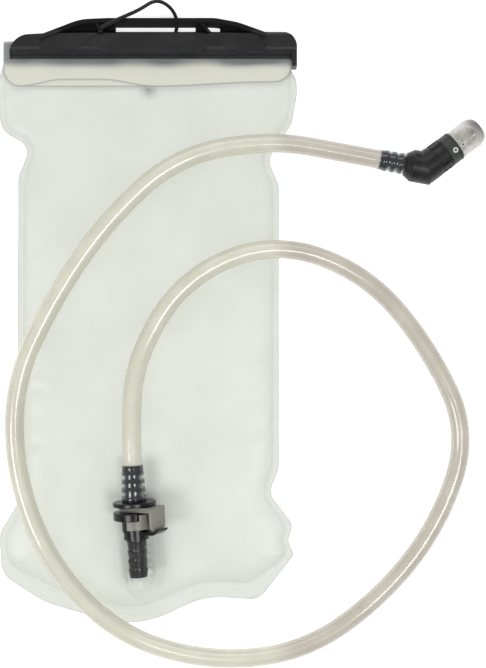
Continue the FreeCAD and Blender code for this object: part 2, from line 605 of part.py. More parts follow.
TUBE_ROUTE = [
    out_of_port(TUBE_START), out_of_port(TUBE_START + 40.0),
    Vector(-6.5, -19.0, 12.2), Vector(21.6, 27.1, 12.0), Vector(73.3, 47.6, 12.0),
    Vector(125.7, 29.0, 6.4), Vector(160.8, -12.0, 5.5), Vector(184.8, -62.2, 5.5),
    Vector(167.5, -114.7, 5.5), Vector(134.3, -157.0, 5.5), Vector(89.7, -188.5, 5.5),
    Vector(35.3, -193.7, 7.0), Vector(-16.8, -176.7, 12.0), Vector(-54.7, -137.6, 12.4),
    Vector(-74.7, -87.5, 12.0), Vector(-76.0, -33.6, 12.0), Vector(-52.9, 15.2, 12.0),
    Vector(-22.8, 59.1, 12.0), Vector(17.0, 95.8, 12.0), Vector(70.8, 105.2, 12.0),
    along(ELBOW_IN, TUBE_END - 32.0), along(ELBOW_IN, TUBE_END),
]
TETHER_ROUTE = [
    Vector(-25.6, 167.4, 17.3), Vector(-15.0, 172.4, 17.8), Vector(-4.0, 177.6, 16.0), Vector(5.0, 185.6, 10.1),
    Vector(13.0, 183.0, 5.0), Vector(17.0, 176.2, 1.5), Vector(15.8, 167.0, 1.5), Vector(11.0, 157.5, 1.5),
    Vector(6.4, 147.3, 1.5), Vector(1.44, 137.47, 1.5),
]


def cord(route, radius, bore=0.0):
    """A round tube along a route: straight runs joined by arcs as large as the runs allow."""
    runs = [(b - a).Length for a, b in zip(route, route[1:])]
    turns = [(b - a).getAngle(c - b) for a, b, c in zip(route, route[1:], route[2:])]
    shorter = [min(pair) for pair in zip(runs, runs[1:])]
    radii = [CORNER_SHARE * run / math.tan(turn / 2) for run, turn in zip(shorter, turns)]
    line = path(route, radii)
    start = route[1] - route[0]
    solids = []
    for r in (radius, bore):
        if r > 0:
            section = Part.Wire(Part.Circle(route[0], start, r).toShape())
            solids.append(line.makePipeShell([section], True, False))
    solid = solids[0].cut(solids[1]) if bore else solids[0]
    expected = math.pi * (radius ** 2 - bore ** 2) * line.Length
    print("cord length %.1f mm, least radius %.1f mm, volume %.1f of %.1f mm3"
          % (line.Length, min(radii), solid.Volume, expected))
    return solid


def drink_tube():
    return cord(TUBE_ROUTE, TUBE_R, TUBE_BORE)


def tether_cord():
    return cord(TETHER_ROUTE, TETHER_R)


# ---- bite valve ------------------------------------------------------------------------------------
def swivel_barb():
    """The barbed spigot that the tube's end grips and the elbow turns on."""
    tail = [taper(TUBE_BORE - 0.3, TUBE_BORE + BARB_RISE, -26.4 + i * 4.4, -23.0 + i * 4.4, X_AXIS)
            for i in range(3)]
    stem = rod(TUBE_BORE - 0.3, -26.4, -9.0, X_AXIS)
    flange = rod(ELBOW_MOUTH - SEAT, TUBE_END, TUBE_END + 1.6, X_AXIS)
    nose = rod(SWIVEL_BORE - RUN_FIT, TUBE_END, -1.4, X_AXIS)
    groove = rod(9, SWIVEL_AT - 0.8, SWIVEL_AT + 0.8, X_AXIS)
    nose = nose.cut(groove.cut(rod(SWIVEL_BORE - 1.0, -9, 9, X_AXIS)))
    solid = joined([stem, flange, nose] + tail)
    return valve_frame(solid.cut(rod(2.2, -30, 5, X_AXIS)), ELBOW_IN)


def swivel_seal():
    return valve_frame(ring_seal(SWIVEL_BORE - SWIVEL_WIRE - 0.1, SWIVEL_WIRE, SWIVEL_AT, X_AXIS), ELBOW_IN)


def elbow_body():
    """Two short tubes that meet in a mitre, with a coned collar round the tube's end."""
    bend = ELBOW_OUT - ELBOW_IN
    inlet = joined([taper(6.4, ELBOW_R, -11.7, -7.6, X_AXIS), rod(ELBOW_R, -7.6, 12, X_AXIS)])
    for groove in (-6.6, -5.2):
        inlet = inlet.cut(rod(12, groove, groove + 0.6, X_AXIS).cut(rod(ELBOW_R - 0.5, -9, 9, X_AXIS)))
    outlet = rod(ELBOW_R, -12, SLEEVE_FROM - 0.1, X_AXIS)
    outlet.rotate(Vector(0, 0, 0), Z_AXIS, bend)
    beyond = block(Vector(0, -40, -40), Vector(40, 40, 40))
    beyond.rotate(Vector(0, 0, 0), Z_AXIS, bend / 2)
    solid = joined([inlet.cut(beyond), outlet.common(beyond)])
    solid = solid.cut(rod(ELBOW_MOUTH, -14, TUBE_END + 1.9, X_AXIS)).cut(rod(SWIVEL_BORE, -14, 1.2, X_AXIS))
    way_out = rod(CORE_R, CORE_FROM, 20, X_AXIS).fuse(rod(CORE_WAY, -1.5, 20, X_AXIS))
    way_out.rotate(Vector(0, 0, 0), Z_AXIS, bend)
    return valve_frame(solid.cut(way_out), ELBOW_IN)


def valve_core():
    """The fixed tube inside the bite valve, with a flange under the mouthpiece."""
    tube = rod(CORE_R, CORE_FROM, CORE_TO, X_AXIS)
    flange = rod(MOUTH_R - 0.2, RING_TO + 0.1, RING_TO + 0.9, X_AXIS)
    solid = joined([tube, flange]).cut(rod(CORE_WAY, 0, 40, X_AXIS))
    groove = rod(9, CORE_SEAL_AT - 0.7, CORE_SEAL_AT + 0.7, X_AXIS)
    return valve_frame(solid.cut(groove.cut(rod(CORE_R - 0.9, 0, 40, X_AXIS))), ELBOW_OUT)


def core_seal():
    return valve_frame(ring_seal(CORE_R - CORE_WIRE, CORE_WIRE, CORE_SEAL_AT, X_AXIS), ELBOW_OUT)


def twist_sleeve():
    """The grip that turns to shut the valve, with a row of raised lugs between two rims."""
    solid = rod(SLEEVE_R, SLEEVE_FROM, SLEEVE_TO, X_AXIS).cut(rod(CORE_R + RUN_FIT, 0, 30, X_AXIS))
    waist = rod(12, SLEEVE_FROM + 0.9, SLEEVE_TO - 0.9, X_AXIS).cut(rod(SLEEVE_R - LUG_RISE, 0, 30, X_AXIS))
    width = math.tau * SLEEVE_R / LUGS * 0.62
    for i in range(LUGS):
        lug = block(Vector(SLEEVE_FROM + 1.8, -width / 2, 0), Vector(SLEEVE_TO - 1.7, width / 2, 20))
        lug.rotate(Vector(0, 0, 0), X_AXIS, (i + 0.5) * 360 / LUGS)
        waist = waist.cut(lug)
    return valve_frame(solid.cut(waist), ELBOW_OUT)


def marked_ring():
    """The ring snapped on the sleeve that carries the setting mark."""
    outer = SLEEVE_R - 0.15
    solid = rod(outer, SLEEVE_TO, RING_TO, X_AXIS).cut(rod(CORE_R + RUN_FIT, 0, 30, X_AXIS))
    groove = rod(12, RING_TO - 1.6, RING_TO - 1.1, X_AXIS).cut(rod(outer - 0.3, 0, 30, X_AXIS))
    return valve_frame(solid.cut(groove), ELBOW_OUT)


def bite_mouthpiece():
    """The soft silicone mouthpiece, closed at its end but for a slit."""
    start = RING_TO + 0.9
    outer = [(start, MOUTH_R), (31.5, MOUTH_R), (32.6, MOUTH_R + 0.35), (33.6, MOUTH_R),
             (MOUTH_TO - 0.9, 6.2), (MOUTH_TO, 5.2)]
    inner = [(MOUTH_TO - 3.4, 2.2), (32.0, CORE_R), (start, CORE_R)]
    points = [Vector(x, 0, r) for x, r in outer + [(MOUTH_TO, 0), (MOUTH_TO - 3.4, 0)] + inner]
    face = Part.Face(Part.makePolygon(points + points[:1]))
    solid = face.revolve(Vector(0, 0, 0), X_AXIS, 360)
    slit = block(Vector(MOUTH_TO - 4, -1.9, -0.15), Vector(MOUTH_TO + 1, 1.9, 0.15))
    return valve_frame(solid.cut(slit), ELBOW_OUT)


NODES = [
    back_film, front_film, tether_anchor, slide_closure, tether_cord, port_spout, coupling_body,
    latch_cover, thumb_latch, latch_spring, shutoff_poppet, poppet_seal, poppet_spring, hose_insert,
    insert_seal, drink_tube, swivel_barb, swivel_seal, elbow_body, valve_core, core_seal, twist_sleeve,
    marked_ring, bite_mouthpiece,
]


def main():
    os.makedirs("parts", exist_ok=True)
    for build in NODES:
        shape = build()
        box = shape.BoundBox
        print("%-16s %s solids %d volume %9.1f  x %.1f..%.1f  y %.1f..%.1f  z %.2f..%.2f" % (
            build.__name__, "valid" if shape.isValid() else "NOT VALID", len(shape.Solids), shape.Volume,
            box.XMin, box.XMax, box.YMin, box.YMax, box.ZMin, box.ZMax))
        shape.exportStep("parts/%s.step" % build.__name__)


main()
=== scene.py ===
"""Looks of the hydration bladder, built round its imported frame.

Metres, with +Z up off the table and +Y towards the closure. A length times MM is in millimetres.
"""

import json
import math

import bmesh
import bpy
import numpy as np
from mathutils import Matrix, Vector, geometry, noise


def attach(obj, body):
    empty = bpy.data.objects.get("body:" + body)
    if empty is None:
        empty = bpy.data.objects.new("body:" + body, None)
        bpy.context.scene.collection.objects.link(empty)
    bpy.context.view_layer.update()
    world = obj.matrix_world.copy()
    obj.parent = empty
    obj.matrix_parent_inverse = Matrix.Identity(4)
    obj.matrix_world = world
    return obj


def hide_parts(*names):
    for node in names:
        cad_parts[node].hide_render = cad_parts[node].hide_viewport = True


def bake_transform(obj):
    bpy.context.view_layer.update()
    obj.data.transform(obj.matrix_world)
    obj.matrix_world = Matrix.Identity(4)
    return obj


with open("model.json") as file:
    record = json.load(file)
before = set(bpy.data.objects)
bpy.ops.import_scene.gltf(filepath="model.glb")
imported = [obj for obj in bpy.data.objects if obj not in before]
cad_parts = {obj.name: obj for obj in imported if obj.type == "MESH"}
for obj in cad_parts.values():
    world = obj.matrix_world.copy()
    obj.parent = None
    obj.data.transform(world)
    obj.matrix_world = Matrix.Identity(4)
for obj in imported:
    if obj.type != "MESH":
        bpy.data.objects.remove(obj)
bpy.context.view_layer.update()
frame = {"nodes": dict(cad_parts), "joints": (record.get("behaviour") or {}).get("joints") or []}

MM = 0.001
JOINTS = {joint["name"]: joint for joint in frame["joints"]}
Z_AXIS = Vector((0, 0, 1))

# ---- the coupling's and the bite valve's axes, from the joints ---------------------------------
PORT_AXIS = Vector(JOINTS["hose_release"]["axis"])
PORT_MOUTH = Vector((-5.2, -120.9, 18.4)) * MM
ELBOW = Vector(JOINTS["elbow_swivel"]["pos_m"])
TUBE_WAY = Vector(JOINTS["elbow_swivel"]["axis"])
MOUTH_WAY = Vector(JOINTS["shutoff_twist"]["axis"])

# ---- routes of the cords -----------------------------------------------------------------------
TUBE_R = 5.4 * MM
TUBE_BORE = 3.5 * MM
TUBE_START = 21.1 * MM     # from the coupling's mouth to the tube's end
TUBE_END = 9.8 * MM        # from the elbow's corner to the tube's far end
TETHER_R = 1.05 * MM


def metres(rows):
    """Points in millimetres as vectors in metres."""
    return [Vector(row) * MM for row in rows]


TUBE_ROUTE = [
    PORT_MOUTH + PORT_AXIS * TUBE_START, PORT_MOUTH + PORT_AXIS * (TUBE_START + 40 * MM)
] + metres([
    (-6.5, -19.0, 12.2), (21.6, 27.1, 12.0), (73.3, 47.6, 12.0), (125.7, 29.0, 6.4), (160.8, -12.0, 5.5),
    (184.8, -62.2, 5.5), (167.5, -114.7, 5.5), (134.3, -157.0, 5.5), (89.7, -188.5, 5.5), (35.3, -193.7, 7.0),
    (-16.8, -176.7, 12.0), (-54.7, -137.6, 12.4), (-74.7, -87.5, 12.0), (-76.0, -33.6, 12.0),
    (-52.9, 15.2, 12.0), (-22.8, 59.1, 12.0), (17.0, 95.8, 12.0), (70.8, 105.2, 12.0),
]) + [ELBOW - TUBE_WAY * (TUBE_END + 32 * MM), ELBOW - TUBE_WAY * TUBE_END]
TETHER_ROUTE = metres([
    (-25.6, 167.4, 17.3), (-15.0, 172.4, 17.8), (-4.0, 177.6, 16.0), (5.0, 185.6, 10.1),
    (13.0, 183.0, 5.0), (17.0, 176.2, 1.5), (15.8, 167.0, 1.5), (11.0, 157.5, 1.5),
    (6.4, 147.3, 1.5), (1.44, 137.47, 1.5),
])


# ---- finishes ----------------------------------------------------------------------------------
class Wire:
    """A socket of a material's tree that can be calculated with."""

    def __init__(self, finish, socket):
        self.finish = finish
        self.socket = socket

    def maths(self, operation, *values):
        """One step of calculation on numbers or wires."""
        return self.finish.node("ShaderNodeMath", dict(enumerate(values)), operation=operation)

    def __add__(self, other):
        return self.maths("ADD", self, other)

    def __radd__(self, other):
        return self.maths("ADD", other, self)

    def __sub__(self, other):
        return self.maths("SUBTRACT", self, other)

    def __rsub__(self, other):
        return self.maths("SUBTRACT", other, self)

    def __mul__(self, other):
        return self.maths("MULTIPLY", self, other)

    def __rmul__(self, other):
        return self.maths("MULTIPLY", other, self)

    def sine(self):
        """The sine, of an angle in radians."""
        return self.maths("SINE", self)

    def size(self):
        """The value without its sign."""
        return self.maths("ABSOLUTE", self)

    def step(self, low, high):
        """0 below low and 1 above high, with a smooth rise between."""
        return self.finish.node("ShaderNodeMapRange", {"Value": self, "From Min": low, "From Max": high},
                                interpolation_type="SMOOTHSTEP")


class Finish:
    """A material being made, with one Principled shader."""

    def __init__(self, name, **constants):
        self.material = bpy.data.materials.new(name)
        self.material.use_nodes = True
        self.tree = self.material.node_tree
        self.shader = self.tree.nodes["Principled BSDF"]
        self.set(**constants)

    def feed(self, socket, value):
        """Sets a socket to a number or a colour, or links a wire to it."""
        if isinstance(value, Wire):
            self.tree.links.new(value.socket, socket)
        elif socket.type == "RGBA" and len(value) == 3:
            socket.default_value = (*value, 1)
        else:
            socket.default_value = value

    def node(self, kind, values=None, output=0, **settings):
        """A node with its settings, then the values or wires of its sockets; gives one output."""
        node = self.tree.nodes.new(kind)
        for label, value in settings.items():
            setattr(node, label, value)
        for label, value in (values or {}).items():
            self.feed(node.inputs[label], value)
        return Wire(self, node.outputs[output])

    def set(self, **wires):
        """Sets the shader's inputs."""
        for label, wire in wires.items():
            self.feed(self.shader.inputs[label.replace("_", " ")], wire)

    def place(self):
        """The point on the piece, in metres, that moves with it."""
        return self.node("ShaderNodeTexCoord", output="Object")

    def noise(self, scale, detail, rough=0.5):
        """A cloudy value, about 0 to 1, that moves with the piece."""
        return self.node("ShaderNodeTexNoise", {"Vector": self.place(), "Scale": scale,
                                                "Detail": detail, "Roughness": rough})

    def mix(self, share, first, second):
        """Two colours, mixed."""
        return self.node("ShaderNodeMix", {0: share, 6: (*first, 1) if isinstance(first, tuple) else first,
                                           7: (*second, 1) if isinstance(second, tuple) else second},
                         output=2, data_type="RGBA")

    def bump(self, height, depth, strength=1.0):
        """A normal, tilted by a height that counts for a depth in metres."""
        return self.node("ShaderNodeBump", {"Height": height, "Distance": depth, "Strength": strength})

    def axes(self):
        """The three coordinates of the point on the piece."""
        split = self.tree.nodes.new("ShaderNodeSeparateXYZ")
        self.feed(split.inputs[0], self.place())
        return [Wire(self, socket) for socket in split.outputs]

    def attribute(self, name):
        """A value given at the points of a mesh."""
        return self.node("ShaderNodeAttribute", attribute_name=name, output="Fac")


GRAIN = 0.03 * MM                              # depth of the grain of moulded plastic
HANDLE_EDGE = (165.5 * MM, 166.8 * MM)         # the bar ends and its handle starts, along Y
DOME_EDGE = (142.0 * MM, 145.5 * MM)           # the port's dome starts, along -Y
FLANGE_EDGE = (-6.6 * MM, -5.8 * MM)           # the port's flange starts, along -Z
STRANDS = 5                                    # how often the braid's strands repeat


def wear(finish, colour, light):
    """Faint flow marks and scuffs of moulded plastic: its colour, its change of roughness, its relief."""
    flow = finish.noise(90, 4)
    scuff = finish.noise(420, 6, rough=0.7).step(0.56, 0.74)
    tint = finish.mix(flow.step(0.3, 0.75) * 0.6 + scuff * 0.4, colour, light)
    return tint, (flow - 0.5) * 0.16 + scuff * 0.08, finish.bump(finish.noise(5200, 2) + scuff * 0.5, GRAIN)


def moulded(name, colour, light, roughness, gloss=0.3):
    """Moulded plastic with a fine spark-eroded grain."""
    finish = Finish(name, Specular_IOR_Level=gloss)
    tint, rougher, relief = wear(finish, colour, light)
    finish.set(Base_Color=tint, Roughness=rougher + roughness, Normal=relief)
    return finish.material


def closure_finish():
    """The bar's moulded plastic: matt between the handle's walls and painted darker there as painted shade,
    with a faint sheen on its front.
    """
    finish = Finish("charcoal_bar", Specular_IOR_Level=0.28)
    handle_matt_and_shade = finish.axes()[1].step(*HANDLE_EDGE)
    front, rougher, relief = wear(finish, (0.012, 0.012, 0.013), (0.021, 0.021, 0.023))
    # the darker colour between the handle's walls is painted shade in its recesses
    finish.set(Base_Color=finish.mix(handle_matt_and_shade, front, (0.0035, 0.0035, 0.004)),
               Roughness=rougher + handle_matt_and_shade * 0.5 + 0.38,
               Normal=relief)
    return finish.material


def film_finish():
    """Milky film: cloudy, clearer on the welds, creamier where it is folded double, with fine creases,
    painted shade under the bar and over the tether's button, and thin dark lines of painted shade along its
    edges.
    """
    finish = Finish("milky_film", IOR=1.45, Specular_IOR_Level=0.35)
    weld, rim, shade, cream = (finish.attribute(name) for name in ("weld", "rim", "shade", "cream"))
    cloud = finish.noise(26, 3).step(0.3, 0.72)
    body = finish.mix(cloud, (0.695, 0.722, 0.668), (0.735, 0.758, 0.706))
    welded = finish.mix(weld * 0.7, body, (0.82, 0.84, 0.79))
    folded = finish.mix(cream, welded, (0.670, 0.668, 0.585))
    # painted shade: a dark band under the bar's lip on the flap, a darker patch beside it and a blur over the
    # tether's button
    painted_shade = finish.mix(shade, folded, (0.13, 0.145, 0.165))
    creases = finish.noise(70, 5, rough=0.62)
    pebble = finish.noise(900, 2)
    # rim: thin dark lines of painted shade along the film's edges and the weld's inner edge
    finish.set(Base_Color=finish.mix(rim * 0.6, painted_shade, (0.24, 0.25, 0.23)),
               Roughness=0.3 + cloud * 0.12 + weld * 0.1,
               Alpha=0.88 - weld * 0.34 + rim * 0.3,
               Normal=finish.bump(creases + pebble * 0.03, 0.9 * MM, 0.55))
    return finish.material


def tube_finish():
    """Milky smoke tube: clear over its barbed ends, where the black shows in rings through the wall, and
    painted paler as painted light where the film lies behind it.
    """
    finish = Finish("smoke_tube", IOR=1.46, Coat_Weight=0.6, Coat_Roughness=0.04)
    clear, contact, pale = (finish.attribute(name) for name in ("clear", "contact", "pale"))
    cloud = finish.noise(60, 3).step(0.3, 0.7)
    speck = finish.noise(1500, 2).step(0.76, 0.79)
    tint = finish.mix(cloud, (0.470, 0.437, 0.372), (0.520, 0.488, 0.420))
    # pale_tint: painted light where the film lies behind the tube and shows through its wall
    pale_tint = finish.mix(cloud, (0.590, 0.578, 0.482), (0.635, 0.622, 0.525))
    wall = finish.mix(speck * 0.5, finish.mix(pale, tint, pale_tint), (0.10, 0.07, 0.05))
    end = finish.mix(contact, (0.60, 0.61, 0.60), (0.020, 0.022, 0.026))
    finish.set(Base_Color=finish.mix(clear, wall, end),
               Roughness=0.13 + cloud * 0.07,
               Alpha=0.82 - clear * (0.77 - contact * 0.80),
               Normal=finish.bump(finish.noise(240, 2), 0.03 * MM))
    return finish.material


def socket_finish():
    """Polythene of the welded port: clear round the stem, cream in the dome, film-like in the flange."""
    finish = Finish("cream_port", IOR=1.5, Coat_Weight=0.4, Coat_Roughness=0.1)
    _, along, up = finish.axes()
    cloud = finish.noise(120, 3).step(0.3, 0.7)
    dome = (along * -1).step(*DOME_EDGE)
    flange = (up * -1).step(*FLANGE_EDGE)
    hollow = finish.mix(dome, (0.75, 0.76, 0.73), (0.84, 0.84, 0.76))
    finish.set(Base_Color=finish.mix(flange, finish.mix(cloud * 0.2, hollow, (0.66, 0.66, 0.62)),
                                     (0.80, 0.82, 0.78)),
               Roughness=0.2 + cloud * 0.1,
               Alpha=0.012 + dome * (1 - flange) * 0.16,
               Normal=finish.bump(finish.noise(500, 3), 0.05 * MM))
    return finish.material


def silicone_finish():
    """Clear silicone of the mouthpiece, with painted shade where the hollow end and the tip are seen through
    it.
    """
    finish = Finish("clear_silicone", IOR=1.42, Coat_Weight=0.5, Coat_Roughness=0.06)
    painted_shade = finish.attribute("painted_shade")
    cloud = finish.noise(150, 3).step(0.3, 0.7)
    pale = finish.mix(cloud, (0.46, 0.44, 0.40), (0.62, 0.59, 0.55))
    # painted_shade darkens the silicone at the tip and in the hollow
    finish.set(Base_Color=finish.mix(painted_shade, pale, (0.030, 0.027, 0.042)),
               Roughness=0.16 + cloud * 0.1,
               Alpha=0.44 + cloud * 0.12 + painted_shade * 0.5,
               Normal=finish.bump(finish.noise(400, 3), 0.08 * MM))
    return finish.material


def braid_finish():
    """Black braided cord: strands crossing along and round it."""
    finish = Finish("black_braid", Sheen_Weight=0.12, Sheen_Roughness=0.4, Specular_IOR_Level=0.2)
    split = finish.tree.nodes.new("ShaderNodeSeparateXYZ")
    finish.feed(split.inputs[0], finish.node("ShaderNodeUVMap", uv_map="braid"))
    round_it, along = (Wire(finish, split.outputs[i]) for i in (0, 1))
    left = ((along + round_it) * math.tau * STRANDS).sine().size()
    right = ((along - round_it) * math.tau * STRANDS).sine().size()
    weave = left.maths("MAXIMUM", left, right)
    finish.set(Base_Color=finish.mix(weave, (0.004, 0.004, 0.004), (0.018, 0.018, 0.019)),
               Roughness=0.72 - weave * 0.15,
               Normal=finish.bump(weave, 0.16 * MM))
    return finish.material


def steel_finish():
    """Drawn steel wire of the springs."""
    finish = Finish("spring_wire", Metallic=1.0)
    drawn = finish.noise(1500, 2)
    finish.set(Base_Color=finish.mix(drawn, (0.42, 0.42, 0.43), (0.62, 0.62, 0.62)),
               Roughness=0.28 + drawn * 0.15)
    return finish.material


def floor_finish():
    """A white floor that glows a little, so that it stays white under weak lamps."""
    return Finish("pale_floor", Base_Color=(0.80, 0.80, 0.80), Roughness=0.75,
                  Emission_Color=(1.0, 1.0, 1.0), Emission_Strength=0.55).material


BLACK = moulded("satin_black", (0.004, 0.004, 0.005), (0.010, 0.010, 0.011), 0.22, gloss=0.32)
DULL_BLACK = moulded("dull_black", (0.008, 0.008, 0.009), (0.018, 0.018, 0.019), 0.38, gloss=0.3)
CHARCOAL = closure_finish()
GREY = moulded("warm_grey", (0.175, 0.170, 0.150), (0.235, 0.228, 0.205), 0.34, gloss=0.4)
RING = moulded("green_grey", (0.030, 0.034, 0.030), (0.050, 0.056, 0.050), 0.45)
SEAL = moulded("seal_rubber", (0.008, 0.008, 0.008), (0.016, 0.016, 0.016), 0.6)
WHITE_MARK = moulded("white_mark", (0.50, 0.52, 0.50), (0.60, 0.62, 0.60), 0.5)
MILKY = moulded("milky_core", (0.46, 0.46, 0.44), (0.55, 0.55, 0.53), 0.35)
FILM = film_finish()
TUBE = tube_finish()
PORT = socket_finish()
SILICONE = silicone_finish()
BRAID = braid_finish()
STEEL = steel_finish()


# ---- meshes ------------------------------------------------------------------------------------
def piece(name, points, faces, finish, body=None):
    """A smooth-shaded mesh in the frame, riding on a body."""
    mesh = bpy.data.meshes.new(name)
    mesh.from_pydata([tuple(point) for point in points], [], faces)
    mesh.polygons.foreach_set("use_smooth", [True] * len(mesh.polygons))
    mesh.materials.append(finish)
    mesh.validate()
    obj = bpy.data.objects.new(name, mesh)
    bpy.context.scene.collection.objects.link(obj)
    if body:
        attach(obj, body)
    return obj


def give(obj, name, values):
    """A named value at each point of a mesh, for its finish to read."""
    layer = obj.data.attributes.new(name, "FLOAT", "POINT")
    layer.data.foreach_set("value", np.asarray(values, np.float32))


def smooth_line(route):
    """The smooth curve that a route controls, as close points."""
    curve = bpy.data.curves.new("route", "CURVE")
    curve.dimensions = "3D"
    curve.resolution_u = 40
    spline = curve.splines.new("NURBS")
    spline.points.add(len(route) - 1)
    for control, point in zip(spline.points, route):
        control.co = (*point, 1)
    spline.order_u = 3
    spline.use_endpoint_u = True
    holder = bpy.data.objects.new("route", curve)
    mesh = bpy.data.meshes.new_from_object(holder)
    line = np.array([vertex.co for vertex in mesh.vertices])
    bpy.data.objects.remove(holder)
    bpy.data.meshes.remove(mesh)
    return line


def stations(line, spacing):
    """Points along a line, spaced by what spacing gives for a distance from its start."""
    steps = np.linalg.norm(np.diff(line, axis=0), axis=1)
    reach = np.concatenate([[0], np.cumsum(steps)])
    at = [0.0]
    while at[-1] < reach[-1]:
        at.append(at[-1] + spacing(at[-1], reach[-1]))
    at = np.array(at) * reach[-1] / at[-1]
    return at, np.stack([np.interp(at, reach, line[:, i]) for i in range(3)], axis=1)


def rings(line, radii, sides):
    """Rings of points round a line, with no twist between them."""
    ways = np.gradient(line, axis=0)
    ways /= np.linalg.norm(ways, axis=1)[:, None]
    side = np.cross(ways[0], Z_AXIS)
    turn = np.linspace(0, math.tau, sides, endpoint=False)
    points = []
    for centre, way, radius in zip(line, ways, radii):
        side = side - way * side.dot(way)
        side /= np.linalg.norm(side)
        up = np.cross(way, side)
        points.append(centre + radius * (np.outer(np.cos(turn), side) + np.outer(np.sin(turn), up)))
    return np.array(points)


def lattice(rows, columns, base=0, flip=False):
    """Quads between rows of points that close round, as rings do."""
    faces = []
    for i in range(rows - 1):
        for j in range(columns):
            k = (j + 1) % columns
            quad = [base + i * columns + j, base + i * columns + k, base + (i + 1) * columns + k,
                    base + (i + 1) * columns + j]
            faces.append(quad[::-1] if flip else quad)
    return faces


def hollow_tube(name, line, outer, inner, sides, finish):
    """A tube with a wall, closed round both of its ends."""
    count = len(line)
    outside = rings(line, outer, sides).reshape(-1, 3)
    inside = rings(line, inner, sides).reshape(-1, 3)
    base = count * sides
    faces = lattice(count, sides) + lattice(count, sides, base, flip=True)
    for end, flip in ((0, True), (count - 1, False)):
        for j in range(sides):
            k = (j + 1) % sides
            quad = [end * sides + j, end * sides + k, base + end * sides + k, base + end * sides + j]
            faces.append(quad[::-1] if flip else quad)
    return piece(name, np.concatenate([outside, inside]), faces, finish)


def lathe(name, profile, origin, way, finish, body, steps=96):
    """A closed profile of (distance, radius) in millimetres, turned about an axis."""
    way = way.normalized()
    side = way.cross(Z_AXIS).normalized()
    up = side.cross(way)
    turn = [math.tau * i / steps for i in range(steps)]
    points = [origin + way * t * MM + (side * math.cos(a) + up * math.sin(a)) * r * MM
              for t, r in profile for a in turn]
    count = len(profile)
    faces = []
    for i in range(count):
        k = (i + 1) % count
        for j in range(steps):
            m = (j + 1) % steps
            faces.append([i * steps + j, k * steps + j, k * steps + m, i * steps + m])
    obj = piece(name, points, faces, finish, body)
    tidy(obj)
    return obj


def tidy(obj, distance=1e-6):
    """Merges points that fall together, such as those on an axis, and turns the faces outwards."""
    mesh = bmesh.new()
    mesh.from_mesh(obj.data)
    bmesh.ops.remove_doubles(mesh, verts=mesh.verts, dist=distance)
    bmesh.ops.dissolve_degenerate(mesh, dist=distance, edges=mesh.edges)
    bmesh.ops.recalc_face_normals(mesh, faces=mesh.faces)
    mesh.to_mesh(obj.data)
    mesh.free()
    obj.data.polygons.foreach_set("use_smooth", [True] * len(obj.data.polygons))


def rounded(corners, steps=5):
    """A closed outline of (a, b, radius) corners, with an arc at each."""
    points = []
    for i, (a, b, radius) in enumerate(corners):
        at = Vector((a, b))
        back = Vector(corners[i - 1][:2]) - at
        ahead = Vector(corners[(i + 1) % len(corners)][:2]) - at
        half = (math.pi - back.angle(ahead)) / 2
        if radius <= 0 or half < 1e-3:
            points.append((a, b))
            continue
        radius = min(radius, 0.49 * min(back.length, ahead.length) / math.tan(half))
        reach = radius * math.tan(half)
        start, end = at + back.normalized() * reach, at + ahead.normalized() * reach
        centre = at + (back.normalized() + ahead.normalized()).normalized() * (radius / math.cos(half))
        first, last = start - centre, end - centre
        sweep = first.angle_signed(last)
        for k in range(steps + 1):
            turned = first.copy()
            turned.rotate(Matrix.Rotation(-sweep * k / steps, 2))
            points.append(tuple(centre + turned))
    return points


# ---- reservoir, in millimetres -----------------------------------------------------------------
HALF = 86.0                # half width across the flared ends
SIDE = 75.5                # half width across the straight sides
NECK_SIDE = 82.3           # half width of the fold and the flap
STACK_BOTTOM = 6.2         # underside of the films in the closure
FOLD_AT = 161.0            # where the fold begins
FOLD_R = 1.3               # outside of the fold
FOLD_RUN = 4.0             # share of the cut that goes round the fold
NECK_FROM, NECK_TO = 112.0, 151.0      # the films rise to the closure over this run
FLAP_END = 136.5           # the flap's free edge
FLAP_LOW = 6.3             # outer face of the flap's free edge
FILM_FINE = 0.34           # thickness of one film, less than the space it has
FOLD_END = FOLD_AT + FOLD_RUN
CUT_END = FOLD_END + FOLD_AT - FLAP_END
BAND = 13.0                # width of the strip round the cut that carries the welds
SHEET_LIFT = {"back": 0.25, "front": 0.75}
POUCH = 3.4                # how far the front film stands off the back one
PORT_FLOOR = 4.8           # underside of the port's flange
PORT_SPOT = (-3.0, -140.0)
PORT_FLAT = (24, 34)       # half size of the film's flat patch under the port
SIDE_WELD, BOTTOM_WELD = 3.4, 9.5      # widths of the welds
BOTTOM_FROM, BOTTOM_TO = -150, -132    # the bottom weld passes into the side welds over this run
BOTTOM_RIBS = (1.7, 3.5, 5.8, 8.0)     # ridges of the bottom weld, from the edge inwards
INSETS = [0, 0.35, 0.9, 1.4, 1.9, 2.5, 3.1, 3.7, 4.3, 5.0, 5.7, 6.4, 7.1, 7.8, 8.5, 9.3, 10.2, 11.4, BAND]
EDGE_STEP, FOLD_STEP = 1.4, 0.5        # spacing along the cut, and at the fold
GRID = 3.0                             # spacing of the points within the strip
LEFT_BOW = 3.8             # how far the back film's free edge is pulled back on the left
BOW_GROWS, BOW_FADES = (-74, -48), (-26, 4)
RIGHT_RISE = 2.4           # how far the flap's free edge climbs towards the right
CLIMB = (6, 68)            # the run over which it climbs
BAR_SHADE = 145.6          # where the painted shade of the bar begins on the flap, along Y
SHADE_PATCH_SPOT = (60, 150.6)   # middle of a patch of painted shade on the flap
BUTTON_SPOT = (0.5, 134)   # where the tether's button shows through the neck as a blur of painted shade
